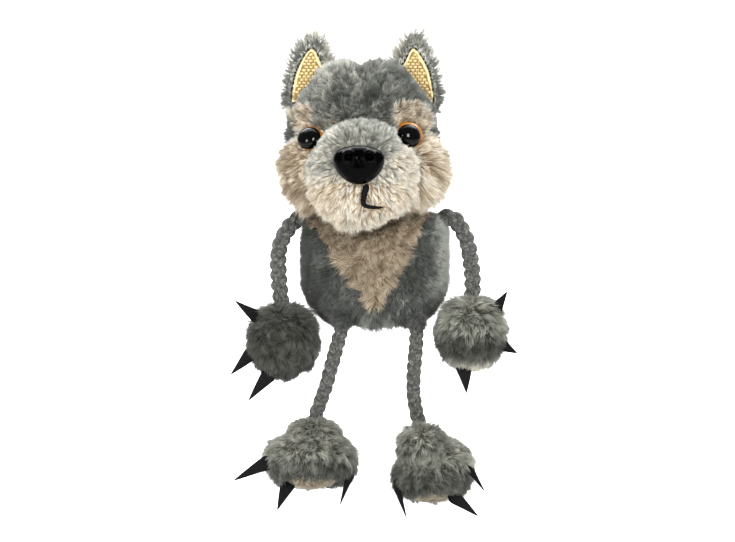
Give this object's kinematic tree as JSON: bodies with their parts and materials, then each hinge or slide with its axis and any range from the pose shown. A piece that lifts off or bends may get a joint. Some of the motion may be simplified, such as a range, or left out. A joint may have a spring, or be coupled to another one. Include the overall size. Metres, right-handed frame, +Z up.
{
  "type": "wolf finger puppet",
  "caption": "Plush wolf finger puppet: stuffed head with amber eyes, padded body with a finger pocket, braided cord limbs and clawed paws.",
  "frame": {"origin": "centre of the finger pocket's mouth, at its lower edge", "axes": "+Z up along the finger, -Y the way the face looks, +X the puppet's own left"},
  "size_m": [0.0862, 0.0571, 0.1459],
  "materials": {
    "plush_grey": "matte",
    "plush_light_grey": "matte",
    "plush_cream": "matte",
    "plush_taupe": "matte",
    "plush_dark_grey": "matte",
    "plush_paw": "matte",
    "sole_beige": "matte",
    "cord_grey": "matte",
    "embroidery_gold": "satin",
    "claw_black": "satin",
    "eye_amber": "gloss",
    "nose_black": "gloss",
    "thread_black": "matte",
    "thread_grey": "matte",
    "filling_white": "matte",
    "lining_grey": "matte",
    "washer_white": "matte"
  },
  "bodies": {
    "torso": {"body_panel_left": "plush_dark_grey", "body_panel_right": "plush_dark_grey", "bib": "plush_taupe", "back_panel": "plush_dark_grey", "body_filling": "filling_white", "finger_lining": "lining_grey"},
    "neck": {"neck_gather": "plush_dark_grey"},
    "neck_tie": {"neck_thread": "thread_grey"},
    "head": {"crown_left": "plush_grey", "crown_right": "plush_grey", "head_back": "plush_grey", "muzzle_top": "plush_light_grey", "cheek_left": "plush_cream", "cheek_right": "plush_cream", "head_filling": "filling_white", "ear_back_left": "plush_grey", "ear_back_right": "plush_grey", "inner_ear_left": "embroidery_gold", "inner_ear_right": "embroidery_gold", "eye_left": "eye_amber", "eye_right": "eye_amber", "eye_washer_left": "washer_white", "eye_washer_right": "washer_white", "nose": "nose_black", "nose_washer": "washer_white", "mouth_stitch": "thread_black"},
    "arm_right_shoulder": {"shoulder_knot_right": "cord_grey"},
    "arm_right_upper": {"arm_cord_upper_right": "cord_grey"},
    "arm_right_lower": {"arm_cord_lower_right": "cord_grey"},
    "hand_right": {"hand_right_skin": "plush_paw", "hand_right_filling": "filling_white", "hand_claw_right_1": "claw_black", "hand_claw_right_2": "claw_black", "hand_claw_right_3": "claw_black"},
    "arm_left_shoulder": {"shoulder_knot_left": "cord_grey"},
    "arm_left_upper": {"arm_cord_upper_left": "cord_grey"},
    "arm_left_lower": {"arm_cord_lower_left": "cord_grey"},
    "hand_left": {"hand_left_skin": "plush_paw", "hand_left_filling": "filling_white", "hand_claw_left_1": "claw_black", "hand_claw_left_2": "claw_black", "hand_claw_left_3": "claw_black"},
    "leg_right_hip": {"hip_knot_right": "cord_grey"},
    "leg_right_upper": {"leg_cord_upper_right": "cord_grey"},
    "leg_right_lower": {"leg_cord_lower_right": "cord_grey"},
    "foot_right": {"foot_right_skin": "plush_paw", "foot_right_sole": "sole_beige", "foot_right_filling": "filling_white", "foot_claw_right_1": "claw_black", "foot_claw_right_2": "claw_black", "foot_claw_right_3": "claw_black"},
    "leg_left_hip": {"hip_knot_left": "cord_grey"},
    "leg_left_upper": {"leg_cord_upper_left": "cord_grey"},
    "leg_left_lower": {"leg_cord_lower_left": "cord_grey"},
    "foot_left": {"foot_left_skin": "plush_paw", "foot_left_sole": "sole_beige", "foot_left_filling": "filling_white", "foot_claw_left_1": "claw_black", "foot_claw_left_2": "claw_black", "foot_claw_left_3": "claw_black"}
  },
  "joints": [
    {"name": "neck_turn", "type": "hinge", "parent": "torso", "child": "neck", "pos_m": [-0.0018, 0.0015, 0.0383], "axis": [0, 0, 1], "range_deg": [-25, 25], "stiffness_Nm_per_rad": 0.05},
    {"name": "neck_tilt", "type": "hinge", "parent": "neck", "child": "neck_tie", "pos_m": [-0.0018, 0.0015, 0.0383], "axis": [0, 1, 0], "range_deg": [-5, 5], "stiffness_Nm_per_rad": 0.05},
    {"name": "neck_nod", "type": "hinge", "parent": "neck_tie", "child": "head", "pos_m": [-0.0018, 0.0015, 0.0383], "axis": [1, 0, 0], "range_deg": [-22, 5], "stiffness_Nm_per_rad": 0.05},
    {"name": "shoulder_swing_right", "type": "hinge", "parent": "torso", "child": "arm_right_shoulder", "pos_m": [-0.0216, 0, 0.0347], "axis": [-1, 0, 0], "range_deg": [-30, 80], "stiffness_Nm_per_rad": 0.004},
    {"name": "shoulder_lift_right", "type": "hinge", "parent": "arm_right_shoulder", "child": "arm_right_upper", "pos_m": [-0.0216, 0, 0.0347], "axis": [0, 1, 0], "range_deg": [-4, 60], "stiffness_Nm_per_rad": 0.004},
    {"name": "elbow_bend_right", "type": "hinge", "parent": "arm_right_upper", "child": "arm_right_lower", "pos_m": [-0.0292, -0.0028, 0.021], "axis": [-1, 0, 0], "range_deg": [-20, 60], "stiffness_Nm_per_rad": 0.003},
    {"name": "wrist_flop_right", "type": "hinge", "parent": "arm_right_lower", "child": "hand_right", "pos_m": [-0.0282, -0.0062, 0.0082], "axis": [0, 1, 0], "range_deg": [-10, 35], "stiffness_Nm_per_rad": 0.002},
    {"name": "shoulder_swing_left", "type": "hinge", "parent": "torso", "child": "arm_left_shoulder", "pos_m": [0.0214, 0, 0.0349], "axis": [-1, 0, 0], "range_deg": [-30, 80], "stiffness_Nm_per_rad": 0.004},
    {"name": "shoulder_lift_left", "type": "hinge", "parent": "arm_left_shoulder", "child": "arm_left_upper", "pos_m": [0.0214, 0, 0.0349], "axis": [0, -1, 0], "range_deg": [-4, 60], "stiffness_Nm_per_rad": 0.004},
    {"name": "elbow_bend_left", "type": "hinge", "parent": "arm_left_upper", "child": "arm_left_lower", "pos_m": [0.0286, -0.0028, 0.0222], "axis": [-1, 0, 0], "range_deg": [-20, 60], "stiffness_Nm_per_rad": 0.003},
    {"name": "wrist_flop_left", "type": "hinge", "parent": "arm_left_lower", "child": "hand_left", "pos_m": [0.0292, -0.0062, 0.0104], "axis": [0, -1, 0], "range_deg": [-10, 35], "stiffness_Nm_per_rad": 0.002},
    {"name": "hip_swing_right", "type": "hinge", "parent": "torso", "child": "leg_right_hip", "pos_m": [-0.01, -0.0094, 0.0006], "axis": [-1, 0, 0], "range_deg": [-25, 70], "stiffness_Nm_per_rad": 0.004},
    {"name": "hip_lift_right", "type": "hinge", "parent": "leg_right_hip", "child": "leg_right_upper", "pos_m": [-0.01, -0.0094, 0.0006], "axis": [0, 1, 0], "range_deg": [-4, 14], "stiffness_Nm_per_rad": 0.004},
    {"name": "knee_bend_right", "type": "hinge", "parent": "leg_right_upper", "child": "leg_right_lower", "pos_m": [-0.0134, -0.009, -0.012], "axis": [-1, 0, 0], "range_deg": [-30, 40], "stiffness_Nm_per_rad": 0.003},
    {"name": "ankle_flop_right", "type": "hinge", "parent": "leg_right_lower", "child": "foot_right", "pos_m": [-0.0178, -0.0086, -0.0258], "axis": [-1, 0, 0], "range_deg": [-30, 30], "stiffness_Nm_per_rad": 0.002},
    {"name": "hip_swing_left", "type": "hinge", "parent": "torso", "child": "leg_left_hip", "pos_m": [0.0124, -0.0092, 0.0004], "axis": [-1, 0, 0], "range_deg": [-25, 70], "stiffness_Nm_per_rad": 0.004},
    {"name": "hip_lift_left", "type": "hinge", "parent": "leg_left_hip", "child": "leg_left_upper", "pos_m": [0.0124, -0.0092, 0.0004], "axis": [0, -1, 0], "range_deg": [-4, 14], "stiffness_Nm_per_rad": 0.004},
    {"name": "knee_bend_left", "type": "hinge", "parent": "leg_left_upper", "child": "leg_left_lower", "pos_m": [0.0116, -0.0092, -0.0134], "axis": [-1, 0, 0], "range_deg": [-30, 40], "stiffness_Nm_per_rad": 0.003},
    {"name": "ankle_flop_left", "type": "hinge", "parent": "leg_left_lower", "child": "foot_left", "pos_m": [0.0134, -0.0086, -0.0284], "axis": [-1, 0, 0], "range_deg": [-30, 30], "stiffness_Nm_per_rad": 0.002}
  ]
}
